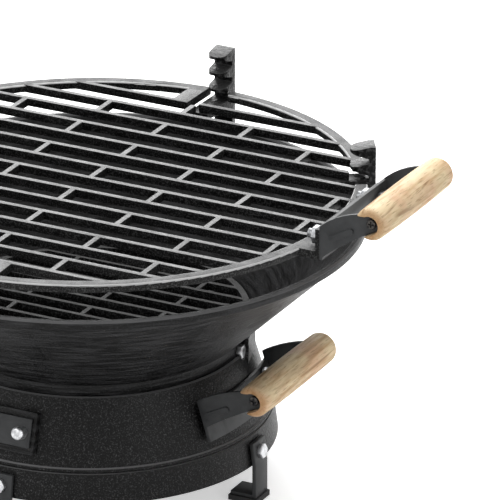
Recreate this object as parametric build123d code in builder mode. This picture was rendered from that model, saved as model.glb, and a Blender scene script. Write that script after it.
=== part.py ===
from build123d import *
from math import asin, atan2, cos, degrees, hypot, radians, sin, sqrt
import os

os.makedirs("parts", exist_ok=True)

# Table-top barrel grill: a cast iron bowl on a flared sheet-metal base, with a cast
# cooking grate held by toothed racks, and wooden carrying handles on grate and base.
# Millimetres. +Z is up, the floor is Z = 0, the axis of the bowl is the Z axis.
# The handles point along +X and -X, the front is -Y, and the tall rack is at the back.

# Cooking grate
grate_radius = 170.0
grate_ring_width = 8.0
grate_depth = 5.2
bar_pitch = 20.0
bar_width = 3.4
bar_foot_width = 2.4
bars_each_side = 7
cross_spacing = 100.0
cross_width = 3.4
edge_round = 1.2

# Bowl
rim_radius = 170.0
rim_lip_width = 4.4
rim_lip_height = 5.0
rim_overhang = 1.8
bowl_height = 83.6
bowl_wall = 4.0
bowl_foot_radius = 96.0
bowl_foot_height = 10.0
bowl_foot_lap = 3.0
bowl_throat_radius = 90.0
grate_above_rim = 23.4

# Charcoal grate
coal_radius = 98.0
coal_ring_width = 4.0
coal_depth = 4.7
coal_pitch = 13.5
coal_bar_width = 2.8
coal_bars_each_side = 6
coal_cross_spacing = 90.0
coal_ledge_height = 16.0
coal_side_clearance = 1.0

# Flared base
drum_height = 44.0
drum_top_radius = 99.0
drum_bottom_radius = 112.0
drum_wall = 2.0
drum_shelf_thickness = 2.0
collar_wall = 2.0
collar_height = 13.0
bead_radius = 1.6
skirt_depth = 8.0
ring_height = 18.7
ring_bottom_radius = 115.4
ring_wall = 2.5
ring_flange = 9.0
ear_thickness = 2.0
ear_rise = 9.0
ear_drop = 8.0
ear_half_width = 12.0
tray_wall = 1.5
tray_lip = 2.5

# Feet
foot_rise = 25.0
foot_pad_height = 3.5
foot_thickness = 2.5
foot_width = 16.0
foot_lap = 15.0
foot_toe = 15.0
foot_pad_margin = 1.0

# Toothed racks
rack_width = 13.0
rack_depth = 15.3
rack_overhang = 5.0
tooth_pitch = 10.9
tooth_depth = 11.5
tooth_tip = 1.8
tooth_root = 5.4
tooth_crown_slope = 2.4
tip_round = 5.6
shelf_reach = 21.7
shelf_tip = 3.0
shelf_root = 9.0
rack_leg_depth = 18.6
rack_bolt_drop = 2.0
boss_half_width = 8.0
boss_height = 16.0
pocket_side_clearance = 1.75
pocket_tip_clearance = 1.2
web_width = 11.0
web_reach = 26.0
slot_length = 17.0

# Handles
bracket_wall = 2.0
bracket_half_width = 44.0
bracket_height = 21.0
ear_tip_radius = 5.5
ear_arch = 3.0
ear_hollow = 1.5
rib_length = 18.0
rib_width = 3.6
rib_height = 1.3
grip_radius = 10.6
grip_barrel = 0.5
grip_overhang = 4.6
grip_round = 4.0
grate_lug_reach = 8.5
grate_lug_half_width = 42.0
upstand_wall = 3.5
upstand_height = 14.0
grate_flange_drop = 4.0
grate_grip_x = 213.6
grate_grip_above = 25.7
base_flange_z = 54.0
base_grip_x = 136.0
base_grip_z = 87.8
base_flange_curve = 74.0

# Air vent
vent_z = 66.0
vent_frame_width = 40.0
vent_frame_height = 26.0
vent_frame_proud = 3.0
vent_window_width = 24.0
vent_window_height = 12.0
vent_window_shift = 2.0
shutter_thickness = 1.5
shutter_half_height = 9.0
shutter_pivot_x = -15.5
shutter_end_x = 17.5
knob_x = 12.0
knob_radius = 4.0
knob_height = 8.0
pivot_diameter = 4.0
pivot_head_diameter = 8.0
pivot_head_height = 2.0
pivot_grip = 2.0

# Fasteners
bolt_diameter = 6.0
bolt_flats = 10.0
bolt_head = 4.0
nut_height = 5.0
bolt_tail = 3.5
rack_bolt_diameter = 5.0
rack_bolt_flats = 8.0
rack_bolt_head = 3.5
rack_bolt_reach = 9.0
bowl_screw_diameter = 5.0
bowl_screw_flats = 8.0
bowl_screw_head = 3.5
bowl_screw_reach = 10.0
screw_notch_margin = 1.2
foot_screw_diameter = 4.0
foot_screw_flats = 8.0
foot_screw_head = 3.0
wood_screw_diameter = 4.0
wood_screw_head_diameter = 6.2
wood_screw_head = 2.0
wood_screw_length = 22.0
grate_bolt_y = 33.0
grate_bolt_below_top = 10.0
base_bolt_y = 28.0
base_bolt_below_top = 7.5
base_bolt_standoff = 2.4

# Clearances
seat_gap = 0.3
fit_gap = 0.05
slip_gap = 0.4

# Angles round the bowl, from +X towards +Y
short_rack_angles = {"right_rack": 32.0, "left_rack": 152.0, "front_rack": 272.0}
tall_rack_angle = 89.0
short_rack_teeth = 2
tall_rack_teeth = 3
web_angles = (tall_rack_angle, short_rack_angles["front_rack"])
slot_angles = (short_rack_angles["right_rack"], short_rack_angles["left_rack"])
foot_angles = {"right_foot": 0.0, "rear_foot": 90.0, "left_foot": 180.0, "front_foot": 270.0}
bowl_screw_angles = (8.0, 128.0, 248.0)
ear_angles = (17.0, 197.0)
plain_angle = -120.0

# Heights above the floor
ring_z = foot_rise
ring_top_z = ring_z + ring_height
drum_z = ring_top_z + seat_gap
drum_top_z = drum_z + drum_height
bowl_z = drum_top_z - bowl_foot_lap
bowl_foot_top_z = bowl_z + bowl_foot_height
rim_z = bowl_z + bowl_height
grate_top_z = rim_z + grate_above_rim
grate_low_z = grate_top_z - grate_depth
coal_ledge_z = bowl_z + coal_ledge_height
coal_low_z = coal_ledge_z + seat_gap

# Slopes of the two cones
drum_slope = (drum_bottom_radius - drum_top_radius) / drum_height
drum_tilt = degrees(atan2(drum_slope, 1.0))
ring_top_radius = drum_bottom_radius + 1.0
ring_slope = (ring_bottom_radius - ring_top_radius) / ring_height
ring_tilt = degrees(atan2(ring_slope, 1.0))
lip_low_z = rim_z - rim_lip_height
cone_top_radius = rim_radius - rim_overhang
cone_slope = (cone_top_radius - bowl_foot_radius) / (lip_low_z - bowl_foot_top_z)
wall_across = bowl_wall * hypot(1.0, cone_slope)

# Radial places of the racks
rack_back = rim_radius + rack_overhang
rack_front = rack_back - rack_depth
rack_root = rack_front + tooth_depth
rack_leg_inner = rim_radius + seat_gap
pocket_radius = rack_front - pocket_tip_clearance
pocket_half_width = rack_width / 2 + pocket_side_clearance


def drum_radius(z):
    return drum_top_radius + (drum_top_z - z) * drum_slope


def ring_radius(z):
    return ring_bottom_radius - (z - ring_z) * ring_slope


def bowl_outer(z):
    return bowl_foot_radius + (z - bowl_foot_top_z) * cone_slope


def bowl_inner(z):
    return bowl_outer(z) - wall_across


def rack_level(step):
    return grate_low_z - seat_gap + step * tooth_pitch


def radial_plane(angle):
    """Plane whose x is the distance from the bowl's axis and whose y is the height."""
    a = radians(angle)
    return Plane(origin=(0, 0, 0), x_dir=(cos(a), sin(a), 0), z_dir=(sin(a), -cos(a), 0))


def outward_plane(angle, radius, z, tilt=0.0):
    """Plane on a wall at the given angle, radius and height, facing out along its normal."""
    a, t = radians(angle), radians(tilt)
    point = (radius * cos(a), radius * sin(a), z)
    normal = (cos(t) * cos(a), cos(t) * sin(a), sin(t))
    return Plane(origin=point, x_dir=(-sin(a), cos(a), 0), z_dir=normal)


def side_plane(y):
    """Upright plane across the handle at the given Y, with x along X and y up."""
    return Plane(origin=(0, y, 0), x_dir=(1, 0, 0), z_dir=(0, -1, 0))


# Places of the fasteners, each a plane on the wall that it goes through
grate_face_x = grate_radius + grate_lug_reach
grate_flange_x = grate_face_x + seat_gap
grate_flange_z = grate_top_z - grate_flange_drop
grate_bolt_z = grate_flange_z + bracket_height - grate_bolt_below_top
grate_bolt_planes = [
    Plane(
        origin=(side * (grate_flange_x + bracket_wall), y, grate_bolt_z),
        x_dir=(0, side, 0),
        z_dir=(side, 0, 0),
    )
    for side in (1, -1)
    for y in (-grate_bolt_y, grate_bolt_y)
]
base_flange_top_z = base_flange_z + bracket_height
base_bolt_z = base_flange_top_z - base_bolt_below_top
base_bolt_angle = degrees(asin(base_bolt_y / drum_radius(base_bolt_z)))
base_bolt_planes = [
    outward_plane(middle + turn, drum_radius(base_bolt_z), base_bolt_z, drum_tilt)
    for middle in (0.0, 180.0)
    for turn in (-base_bolt_angle, base_bolt_angle)
]
foot_screw_z = ring_z + foot_lap / 2
foot_screw_planes = [
    outward_plane(angle, ring_radius(foot_screw_z), foot_screw_z, ring_tilt)
    for angle in foot_angles.values()
]
bowl_screw_z = bowl_z + bowl_foot_height / 2
bowl_screw_planes = [
    outward_plane(angle, bowl_foot_radius, bowl_screw_z) for angle in bowl_screw_angles
]
rack_angles = [tall_rack_angle] + list(short_rack_angles.values())
rack_bolt_z = rim_z - rack_leg_depth / 2 - rack_bolt_drop
rack_bolt_planes = [outward_plane(angle, rack_back, rack_bolt_z) for angle in rack_angles]
vent_plane = outward_plane(-90.0, drum_radius(vent_z), vent_z, drum_tilt)

# Cooking grate: bars in running bond, ring, rack pockets and handle lugs
bar_y = [bar_pitch * i for i in range(-bars_each_side, bars_each_side + 1)]
ring_inner = grate_radius - grate_ring_width
ring_middle = grate_radius - grate_ring_width / 2
lug_inner = ring_inner - edge_round


def bond_places(lines, spacing, limit):
    """Middles of the short cross pieces between neighbouring bars, staggered row by row."""
    places = []
    steps = int(limit / spacing) + 1
    for row, (low, high) in enumerate(zip(lines, lines[1:])):
        start = 0.0 if row % 2 else spacing / 2
        for step in range(-steps, steps + 1):
            place = (start + step * spacing, (low + high) / 2)
            if hypot(*place) < limit:
                places.append(place)
    return places


with BuildPart() as cooking_grate:
    with BuildSketch(Plane.YZ):
        for y in bar_y:
            with BuildLine():
                Polyline(
                    (y - bar_width / 2, grate_top_z),
                    (y + bar_width / 2, grate_top_z),
                    (y + bar_foot_width / 2, grate_low_z),
                    (y - bar_foot_width / 2, grate_low_z),
                    close=True,
                )
            make_face()
    extrude(amount=grate_radius, both=True)
    with BuildSketch(Plane.XY.offset(grate_low_z)):
        for place in bond_places(bar_y, cross_spacing, ring_inner - cross_width):
            with Locations(place):
                Rectangle(cross_width, bar_pitch)
    extrude(amount=grate_depth)
    with BuildSketch(Plane.XY.offset(grate_low_z)):
        Circle(ring_middle)
    extrude(amount=grate_depth, mode=Mode.INTERSECT)
    with BuildSketch(radial_plane(plain_angle)):
        with Locations((ring_middle, (grate_low_z + grate_top_z) / 2)):
            RectangleRounded(grate_ring_width, grate_depth, edge_round)
    revolve(axis=Axis.Z)
    for angle in web_angles:
        with BuildSketch(radial_plane(angle)):
            with Locations((ring_middle, grate_low_z)):
                Rectangle(web_reach, grate_depth, align=(Align.MAX, Align.MIN))
        extrude(amount=-(pocket_half_width + web_width))
        with BuildSketch(radial_plane(angle)):
            with Locations((ring_inner, grate_low_z)):
                Rectangle(web_reach, grate_depth, align=(Align.MAX, Align.MIN))
        extrude(amount=-pocket_half_width, mode=Mode.SUBTRACT)
    for side in (-1, 1):
        with BuildSketch(Plane.XY.offset(grate_low_z)):
            with Locations((side * (lug_inner + grate_face_x) / 2, 0)):
                Rectangle(grate_face_x - lug_inner, 2 * grate_lug_half_width)
        extrude(amount=grate_depth)
        with BuildSketch(Plane.XY.offset(grate_low_z)):
            with Locations((side * (grate_face_x - upstand_wall / 2), 0)):
                Rectangle(upstand_wall, 2 * grate_lug_half_width)
        extrude(amount=grate_depth + upstand_height)
    for angle in rack_angles:
        with BuildSketch(radial_plane(angle)):
            with Locations((pocket_radius, grate_low_z)):
                Rectangle(2 * grate_ring_width, grate_depth, align=(Align.MIN, Align.MIN))
        extrude(amount=pocket_half_width, both=True, mode=Mode.SUBTRACT)
    for angle in slot_angles:
        with BuildSketch(radial_plane(angle)):
            with Locations((pocket_radius, grate_low_z)):
                Rectangle(2 * grate_ring_width, grate_depth, align=(Align.MIN, Align.MIN))
        extrude(amount=pocket_half_width + slot_length, mode=Mode.SUBTRACT)
    for plane in grate_bolt_planes:
        with BuildSketch(plane):
            Circle(bolt_diameter / 2 + fit_gap)
        extrude(amount=-2 * (bracket_wall + upstand_wall), mode=Mode.SUBTRACT)
cooking_grate.part.label = "cooking_grate"
export_step(cooking_grate.part, "parts/cooking_grate.step")

# Charcoal grate, the same pattern smaller, lying on the ledge inside the bowl
coal_y = [coal_pitch * i for i in range(-coal_bars_each_side, coal_bars_each_side + 1)]
coal_ring_inner = coal_radius - coal_ring_width

with BuildPart() as charcoal_grate:
    with BuildSketch(Plane.XY.offset(coal_low_z)):
        for y in coal_y:
            with Locations((0, y)):
                Rectangle(2 * coal_radius, coal_bar_width)
        for place in bond_places(coal_y, coal_cross_spacing, coal_ring_inner - coal_bar_width):
            with Locations(place):
                Rectangle(coal_bar_width, coal_pitch)
    extrude(amount=coal_depth)
    with BuildSketch(Plane.XY.offset(coal_low_z)):
        Circle(coal_radius - coal_ring_width / 2)
    extrude(amount=coal_depth, mode=Mode.INTERSECT)
    with BuildSketch(Plane.XY.offset(coal_low_z)):
        Circle(coal_radius)
        Circle(coal_ring_inner, mode=Mode.SUBTRACT)
    extrude(amount=coal_depth)
charcoal_grate.part.label = "charcoal_grate"
export_step(charcoal_grate.part, "parts/charcoal_grate.step")

# Bowl: a cast cone with a rolled lip, a ledge for the charcoal grate and a short foot band
ledge_radius = coal_radius + coal_side_clearance
ledge_cone_z = bowl_foot_top_z + (ledge_radius + wall_across - bowl_foot_radius) / cone_slope
lip_inner = rim_radius - rim_lip_width
boss_low_z = rim_z - rack_leg_depth
boss_top_z = boss_low_z + boss_height

with BuildPart() as fire_bowl:
    with BuildSketch(Plane.XZ):
        with BuildLine():
            Polyline(
                (bowl_throat_radius, bowl_z),
                (bowl_foot_radius, bowl_z),
                (bowl_foot_radius, bowl_foot_top_z),
                (cone_top_radius, lip_low_z),
                (rim_radius, lip_low_z),
                (rim_radius, rim_z - edge_round),
                (rim_radius - edge_round, rim_z),
                (lip_inner + edge_round, rim_z),
                (lip_inner, rim_z - edge_round),
                (bowl_inner(lip_low_z), lip_low_z),
                (ledge_radius, ledge_cone_z),
                (ledge_radius, coal_ledge_z),
                (bowl_throat_radius, coal_ledge_z),
                close=True,
            )
        make_face()
    revolve(axis=Axis.Z)
    for angle in rack_angles:
        with BuildSketch(radial_plane(angle)):
            with BuildLine():
                Polyline(
                    (bowl_outer(boss_low_z) - bowl_wall / 2, boss_low_z),
                    (rim_radius, boss_low_z),
                    (rim_radius, boss_top_z),
                    (bowl_inner(boss_top_z) + bowl_wall / 2, boss_top_z),
                    close=True,
                )
            make_face()
        extrude(amount=boss_half_width, both=True)
    for plane in rack_bolt_planes:
        with BuildSketch(plane):
            Circle(rack_bolt_diameter / 2 + fit_gap)
        extrude(amount=-(rack_overhang + rack_bolt_reach + slip_gap), mode=Mode.SUBTRACT)
    for plane in bowl_screw_planes:
        with BuildSketch(plane):
            Circle(bowl_screw_diameter / 2 + fit_gap)
        extrude(amount=-2 * (bowl_foot_radius - bowl_throat_radius), mode=Mode.SUBTRACT)
fire_bowl.part.label = "fire_bowl"
export_step(fire_bowl.part, "parts/fire_bowl.step")


# Toothed racks: a leg bolted outside the rim, a blade above it and teeth facing inwards
def rack_outline(teeth):
    top = rack_level(teeth)
    points = [
        (rack_leg_inner, boss_low_z),
        (rack_back, boss_low_z),
        (rack_back, top),
        (rack_root, top),
        (rack_front, top - tooth_crown_slope),
    ]
    for level in range(teeth, 0, -1):
        crown = rack_level(level)
        points.append((rack_front, crown - tooth_crown_slope - tooth_tip))
        points.append((rack_root, crown - tooth_crown_slope - tooth_root))
        if level > 1:
            points.append((rack_root, rack_level(level - 1)))
            points.append((rack_front, rack_level(level - 1) - tooth_crown_slope))
    points.append((rack_root, rack_level(0)))
    points.append((rack_front - shelf_reach, rack_level(0)))
    points.append((rack_front - shelf_reach, rack_level(0) - shelf_tip))
    points.append((rack_root, rack_level(0) - shelf_root))
    points.append((rack_root, rim_z + seat_gap))
    points.append((rack_leg_inner, rim_z + seat_gap))
    return points


def make_rack(angle, teeth):
    with BuildPart() as rack:
        with BuildSketch(radial_plane(angle)):
            with BuildLine():
                Polyline(*rack_outline(teeth), close=True)
            make_face()
        extrude(amount=rack_width / 2, both=True)
        a = radians(angle)
        level_plane = Plane(
            origin=(0, 0, rack_level(0) + seat_gap), x_dir=(cos(a), sin(a), 0), z_dir=(0, 0, 1)
        )
        with BuildSketch(level_plane):
            with Locations((rack_front + tip_round, 0)):
                Rectangle(2 * tip_round, 2 * rack_width, align=(Align.MAX, Align.CENTER))
            with Locations((rack_front, 0)):
                RectangleRounded(
                    rack_depth,
                    rack_width,
                    tip_round,
                    align=(Align.MIN, Align.CENTER),
                    mode=Mode.SUBTRACT,
                )
        extrude(amount=teeth * tooth_pitch, mode=Mode.SUBTRACT)
        with BuildSketch(outward_plane(angle, rack_back, rack_bolt_z)):
            Circle(rack_bolt_diameter / 2 + fit_gap)
        extrude(amount=-rack_overhang - tooth_depth, mode=Mode.SUBTRACT)
    return rack


rear_rack = make_rack(tall_rack_angle, tall_rack_teeth)
rear_rack.part.label = "rear_rack"
export_step(rear_rack.part, "parts/rear_rack.step")

for name, angle in short_rack_angles.items():
    short_rack = make_rack(angle, short_rack_teeth)
    short_rack.part.label = name
    export_step(short_rack.part, f"parts/{name}.step")

with BuildPart() as rack_bolts:
    for plane in rack_bolt_planes:
        with BuildSketch(plane):
            RegularPolygon(rack_bolt_flats / 2, 6, major_radius=False)
        extrude(amount=rack_bolt_head)
        with BuildSketch(plane):
            Circle(rack_bolt_diameter / 2)
        extrude(amount=-(rack_overhang + rack_bolt_reach))
rack_bolts.part.label = "rack_bolts"
export_step(rack_bolts.part, "parts/rack_bolts.step")

# Flared base drum: sheet cone, beaded lower edge, skirt, and a collar that holds the bowl
shelf_top_z = bowl_z - seat_gap
shelf_low_z = shelf_top_z - drum_shelf_thickness
collar_outer = bowl_throat_radius - slip_gap
collar_top_z = shelf_low_z + collar_height
skirt_outer = ring_top_radius - ring_wall - seat_gap
skirt_inner = skirt_outer - drum_wall
lap_radius = bowl_foot_radius + slip_gap

with BuildPart() as base_drum:
    with BuildSketch(Plane.XZ):
        with BuildLine():
            Polyline(
                (lap_radius, drum_top_z),
                (drum_top_radius, drum_top_z),
                (drum_bottom_radius, drum_z),
                (skirt_outer, drum_z),
                (skirt_outer, drum_z - skirt_depth),
                (skirt_inner, drum_z - skirt_depth),
                (skirt_inner, drum_z + drum_wall),
                (drum_radius(drum_z + 2 * drum_wall) - drum_wall, drum_z + 2 * drum_wall),
                (drum_radius(shelf_low_z) - drum_wall, shelf_low_z),
                (collar_outer - collar_wall, shelf_low_z),
                (collar_outer - collar_wall, collar_top_z),
                (collar_outer, collar_top_z),
                (collar_outer, shelf_top_z),
                (lap_radius, shelf_top_z),
                close=True,
            )
        make_face()
        with Locations((drum_bottom_radius - bead_radius / 2, drum_z + bead_radius)):
            Circle(bead_radius)
    revolve(axis=Axis.Z)
    for angle in ear_angles:
        with BuildSketch(radial_plane(angle)):
            with Locations((drum_top_radius - seat_gap, drum_top_z - ear_drop)):
                Rectangle(ear_thickness, ear_drop + ear_rise, align=(Align.MIN, Align.MIN))
        extrude(amount=ear_half_width, both=True)
    for plane in bowl_screw_planes:
        with BuildSketch(plane):
            Circle(bowl_screw_diameter / 2 + fit_gap)
        extrude(amount=-bowl_screw_reach - bolt_tail, mode=Mode.SUBTRACT)
        with BuildSketch(plane):
            Circle(bowl_screw_flats / 2 + screw_notch_margin)
        extrude(amount=2 * bowl_screw_head, mode=Mode.SUBTRACT)
    for plane in base_bolt_planes:
        with BuildSketch(plane):
            Circle(bolt_diameter / 2 + fit_gap)
        extrude(amount=-3 * drum_wall, mode=Mode.SUBTRACT)
    with BuildSketch(vent_plane):
        with Locations((vent_window_shift, 0)):
            Rectangle(vent_window_width, vent_window_height)
    extrude(amount=-3 * drum_wall, mode=Mode.SUBTRACT)
base_drum.part.label = "base_drum"
export_step(base_drum.part, "parts/base_drum.step")

with BuildPart() as bowl_screws:
    for plane in bowl_screw_planes:
        with BuildSketch(plane):
            RegularPolygon(bowl_screw_flats / 2, 6, major_radius=False)
        extrude(amount=bowl_screw_head)
        with BuildSketch(plane):
            Circle(bowl_screw_diameter / 2)
        extrude(amount=-bowl_screw_reach)
bowl_screws.part.label = "bowl_screws"
export_step(bowl_screws.part, "parts/bowl_screws.step")

# Base ring: the lower band of the base, with a flange inside that carries the ash tray
with BuildPart() as base_ring:
    with BuildSketch(Plane.XZ):
        with BuildLine():
            Polyline(
                (ring_top_radius - ring_wall, ring_top_z),
                (ring_top_radius, ring_top_z),
                (ring_bottom_radius, ring_z),
                (ring_bottom_radius - ring_wall - ring_flange, ring_z),
                (ring_bottom_radius - ring_wall - ring_flange, ring_z + ring_wall),
                (ring_radius(ring_z + ring_wall) - ring_wall, ring_z + ring_wall),
                close=True,
            )
        make_face()
    revolve(axis=Axis.Z)
    for plane in foot_screw_planes:
        with BuildSketch(plane):
            Circle(foot_screw_diameter / 2 + fit_gap)
        extrude(amount=-2 * ring_wall, mode=Mode.SUBTRACT)
base_ring.part.label = "base_ring"
export_step(base_ring.part, "parts/base_ring.step")

tray_z = ring_z + ring_wall
tray_radius = skirt_outer

with BuildPart() as ash_tray:
    with BuildSketch(Plane.XY.offset(tray_z)):
        Circle(tray_radius)
    extrude(amount=tray_wall + tray_lip)
    with BuildSketch(Plane.XY.offset(tray_z + tray_wall)):
        Circle(tray_radius - tray_wall)
    extrude(amount=tray_lip, mode=Mode.SUBTRACT)
ash_tray.part.label = "ash_tray"
export_step(ash_tray.part, "parts/ash_tray.step")


# Feet: bent straps screwed to the outside of the ring, each on a rubber pad
def make_foot(angle):
    top = ring_z + foot_lap
    inner_top = ring_radius(top) + seat_gap
    inner_low = ring_radius(ring_z) + seat_gap
    with BuildPart() as foot:
        with BuildSketch(radial_plane(angle)):
            with BuildLine():
                Polyline(
                    (inner_top, top),
                    (inner_low, ring_z),
                    (inner_low, foot_pad_height + foot_thickness),
                    (inner_low - foot_toe, foot_pad_height + foot_thickness),
                    (inner_low - foot_toe, foot_pad_height),
                    (inner_low + foot_thickness, foot_pad_height),
                    (inner_low + foot_thickness, ring_z),
                    (inner_top + foot_thickness, top),
                    close=True,
                )
            make_face()
        extrude(amount=foot_width / 2, both=True)
        with BuildSketch(outward_plane(angle, ring_radius(foot_screw_z), foot_screw_z, ring_tilt)):
            Circle(foot_screw_diameter / 2 + fit_gap)
        extrude(amount=2 * foot_thickness, both=True, mode=Mode.SUBTRACT)
    return foot


for name, angle in foot_angles.items():
    foot = make_foot(angle)
    foot.part.label = name
    export_step(foot.part, f"parts/{name}.step")

foot_pad_outer = ring_bottom_radius + seat_gap + foot_thickness + foot_pad_margin
foot_pad_length = foot_toe + foot_thickness + 2 * foot_pad_margin

with BuildPart() as foot_pads:
    for angle in foot_angles.values():
        with BuildSketch(radial_plane(angle)):
            with Locations((foot_pad_outer, 0)):
                Rectangle(foot_pad_length, foot_pad_height, align=(Align.MAX, Align.MIN))
        extrude(amount=foot_width / 2 + foot_pad_margin, both=True)
foot_pads.part.label = "foot_pads"
export_step(foot_pads.part, "parts/foot_pads.step")

with BuildPart() as foot_screws:
    for plane in foot_screw_planes:
        with BuildSketch(plane.offset(seat_gap + foot_thickness)):
            RegularPolygon(foot_screw_flats / 2, 6, major_radius=False)
        extrude(amount=foot_screw_head)
        with BuildSketch(plane.offset(seat_gap + foot_thickness)):
            Circle(foot_screw_diameter / 2)
        extrude(amount=-seat_gap - foot_thickness - ring_wall)
foot_screws.part.label = "foot_screws"
export_step(foot_screws.part, "parts/foot_screws.step")


# Handles: a bent sheet bracket with two ears, and a turned wooden grip between the ears
def ear_sketch(root_x, root_z, tip_x, tip_z):
    """Outline of one ear, from its root on the flange to the round tip at the grip's axis."""
    middle_z = root_z + bracket_height / 2
    reach = hypot(tip_x - root_x, tip_z - middle_z)
    along = ((tip_x - root_x) / reach, (tip_z - middle_z) / reach)
    across = (-along[1], along[0])

    def point(base, on_along, on_across):
        return (
            base[0] + along[0] * on_along + across[0] * on_across,
            base[1] + along[1] * on_along + across[1] * on_across,
        )

    tip = (tip_x, tip_z)
    high_root = (root_x, root_z + bracket_height)
    low_root = (root_x, root_z)
    high_tip = point(tip, 0, ear_tip_radius)
    low_tip = point(tip, 0, -ear_tip_radius)
    high_middle = ((high_root[0] + high_tip[0]) / 2, (high_root[1] + high_tip[1]) / 2)
    low_middle = ((low_root[0] + low_tip[0]) / 2, (low_root[1] + low_tip[1]) / 2)
    with BuildSketch(Plane.XY) as outline:
        with BuildLine():
            ThreePointArc(high_root, point(high_middle, 0, ear_arch), high_tip)
            ThreePointArc(high_tip, point(tip, ear_tip_radius, 0), low_tip)
            ThreePointArc(low_tip, point(low_middle, 0, ear_hollow), low_root)
            Line(low_root, high_root)
        make_face()
    return outline.sketch


def rib_sketch(root_x, root_z, tip_x, tip_z):
    """Outline of the pressed rib that stiffens an ear, along the line from root to tip."""
    middle_z = root_z + bracket_height / 2
    turn = degrees(atan2(tip_z - middle_z, tip_x - root_x))
    place = ((root_x + tip_x) / 2 - ear_tip_radius / 2, (middle_z + tip_z) / 2 - ear_hollow)
    with BuildSketch(Plane.XY) as outline:
        with Locations(place):
            SlotOverall(rib_length, rib_width, rotation=turn)
    return outline.sketch


def make_bracket(root_x, root_z, tip_x, tip_z, backing, flange, bolt_planes):
    """Bracket with ears cut back to the wall behind it, joined to the given flange."""
    ear_face = ear_sketch(root_x, root_z, tip_x, tip_z)
    rib_face = rib_sketch(root_x, root_z, tip_x, tip_z)
    with BuildPart() as bracket:
        for side in (-1, 1):
            outside = side_plane(side * bracket_half_width)
            with BuildSketch(outside):
                add(ear_face)
            extrude(amount=side * bracket_wall)
            with BuildSketch(outside):
                add(rib_face)
            extrude(amount=-side * rib_height)
            with BuildSketch(outside):
                with Locations((tip_x, tip_z)):
                    Circle(wood_screw_diameter / 2 + fit_gap)
            extrude(amount=bracket_wall, both=True, mode=Mode.SUBTRACT)
        add(backing, mode=Mode.SUBTRACT)
        add(flange)
        for plane in bolt_planes:
            with BuildSketch(plane):
                Circle(bolt_diameter / 2 + fit_gap)
            extrude(amount=4 * bracket_wall, both=True, mode=Mode.SUBTRACT)
    return bracket


def make_grip(root_x, root_z, tip_x, tip_z):
    """Turned grip with rounded ends, each end cut away for the ear's tip, bored for screws."""
    half_length = bracket_half_width + grip_overhang
    end_radius = grip_radius - grip_barrel
    long_plane = Plane(origin=(tip_x, 0, tip_z), x_dir=(0, 1, 0), z_dir=(1, 0, 0))
    corner = grip_round * (1 - sqrt(0.5))
    ear_face = ear_sketch(root_x, root_z, tip_x, tip_z)
    with BuildPart() as grip:
        with BuildSketch(long_plane):
            with BuildLine():
                Line((-half_length, 0), (half_length, 0))
                Line((half_length, 0), (half_length, end_radius - grip_round))
                ThreePointArc(
                    (half_length, end_radius - grip_round),
                    (half_length - corner, end_radius - corner),
                    (half_length - grip_round, end_radius),
                )
                ThreePointArc(
                    (half_length - grip_round, end_radius),
                    (0, grip_radius),
                    (-half_length + grip_round, end_radius),
                )
                ThreePointArc(
                    (-half_length + grip_round, end_radius),
                    (-half_length + corner, end_radius - corner),
                    (-half_length, end_radius - grip_round),
                )
                Line((-half_length, end_radius - grip_round), (-half_length, 0))
            make_face()
        revolve(axis=Axis((tip_x, 0, tip_z), (0, 1, 0)))
        for side in (-1, 1):
            with BuildSketch(side_plane(side * (bracket_half_width - bracket_wall - seat_gap))):
                add(ear_face)
                offset(amount=slip_gap)
            extrude(amount=-side * 4 * grip_overhang, mode=Mode.SUBTRACT)
            with BuildSketch(side_plane(side * bracket_half_width)):
                with Locations((tip_x, tip_z)):
                    Circle(wood_screw_diameter / 2 + fit_gap)
            extrude(amount=side * (wood_screw_length + slip_gap), mode=Mode.SUBTRACT)
    return grip


def make_wood_screws(tip_x, tip_z):
    with BuildPart() as screws:
        for mirror_x in (1, -1):
            for side in (-1, 1):
                with BuildSketch(side_plane(side * bracket_half_width)):
                    with Locations((mirror_x * tip_x, tip_z)):
                        Circle(wood_screw_head_diameter / 2)
                extrude(amount=-side * wood_screw_head)
                with BuildSketch(side_plane(side * bracket_half_width)):
                    with Locations((mirror_x * tip_x, tip_z)):
                        Circle(wood_screw_diameter / 2)
                extrude(amount=side * wood_screw_length)
    return screws


def make_bolts(planes, lift, grip_length):
    """Hex bolts whose heads sit the given lift above the planes."""
    with BuildPart() as bolts:
        for plane in planes:
            with BuildSketch(plane.offset(lift)):
                RegularPolygon(bolt_flats / 2, 6, major_radius=False)
            extrude(amount=bolt_head)
            with BuildSketch(plane.offset(lift)):
                Circle(bolt_diameter / 2)
            extrude(amount=-(grip_length + nut_height + bolt_tail))
    return bolts


def make_nuts(planes, depth):
    """Hex nuts whose faces sit the given depth behind the planes."""
    with BuildPart() as nuts:
        for plane in planes:
            with BuildSketch(plane.offset(-depth)):
                RegularPolygon(bolt_flats / 2, 6, major_radius=False)
                Circle(bolt_diameter / 2 + fit_gap, mode=Mode.SUBTRACT)
            extrude(amount=-nut_height)
    return nuts


with BuildPart() as grate_backing:
    with BuildSketch(Plane.YZ):
        with Locations((0, grate_flange_z + bracket_height / 2)):
            Rectangle(3 * bracket_half_width, 2 * bracket_height)
    extrude(amount=grate_flange_x)
with BuildPart() as grate_flange:
    with BuildSketch(Plane.YZ.offset(grate_flange_x)):
        with Locations((0, grate_flange_z)):
            Rectangle(
                2 * bracket_half_width, bracket_height, align=(Align.CENTER, Align.MIN)
            )
    extrude(amount=bracket_wall)

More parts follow.
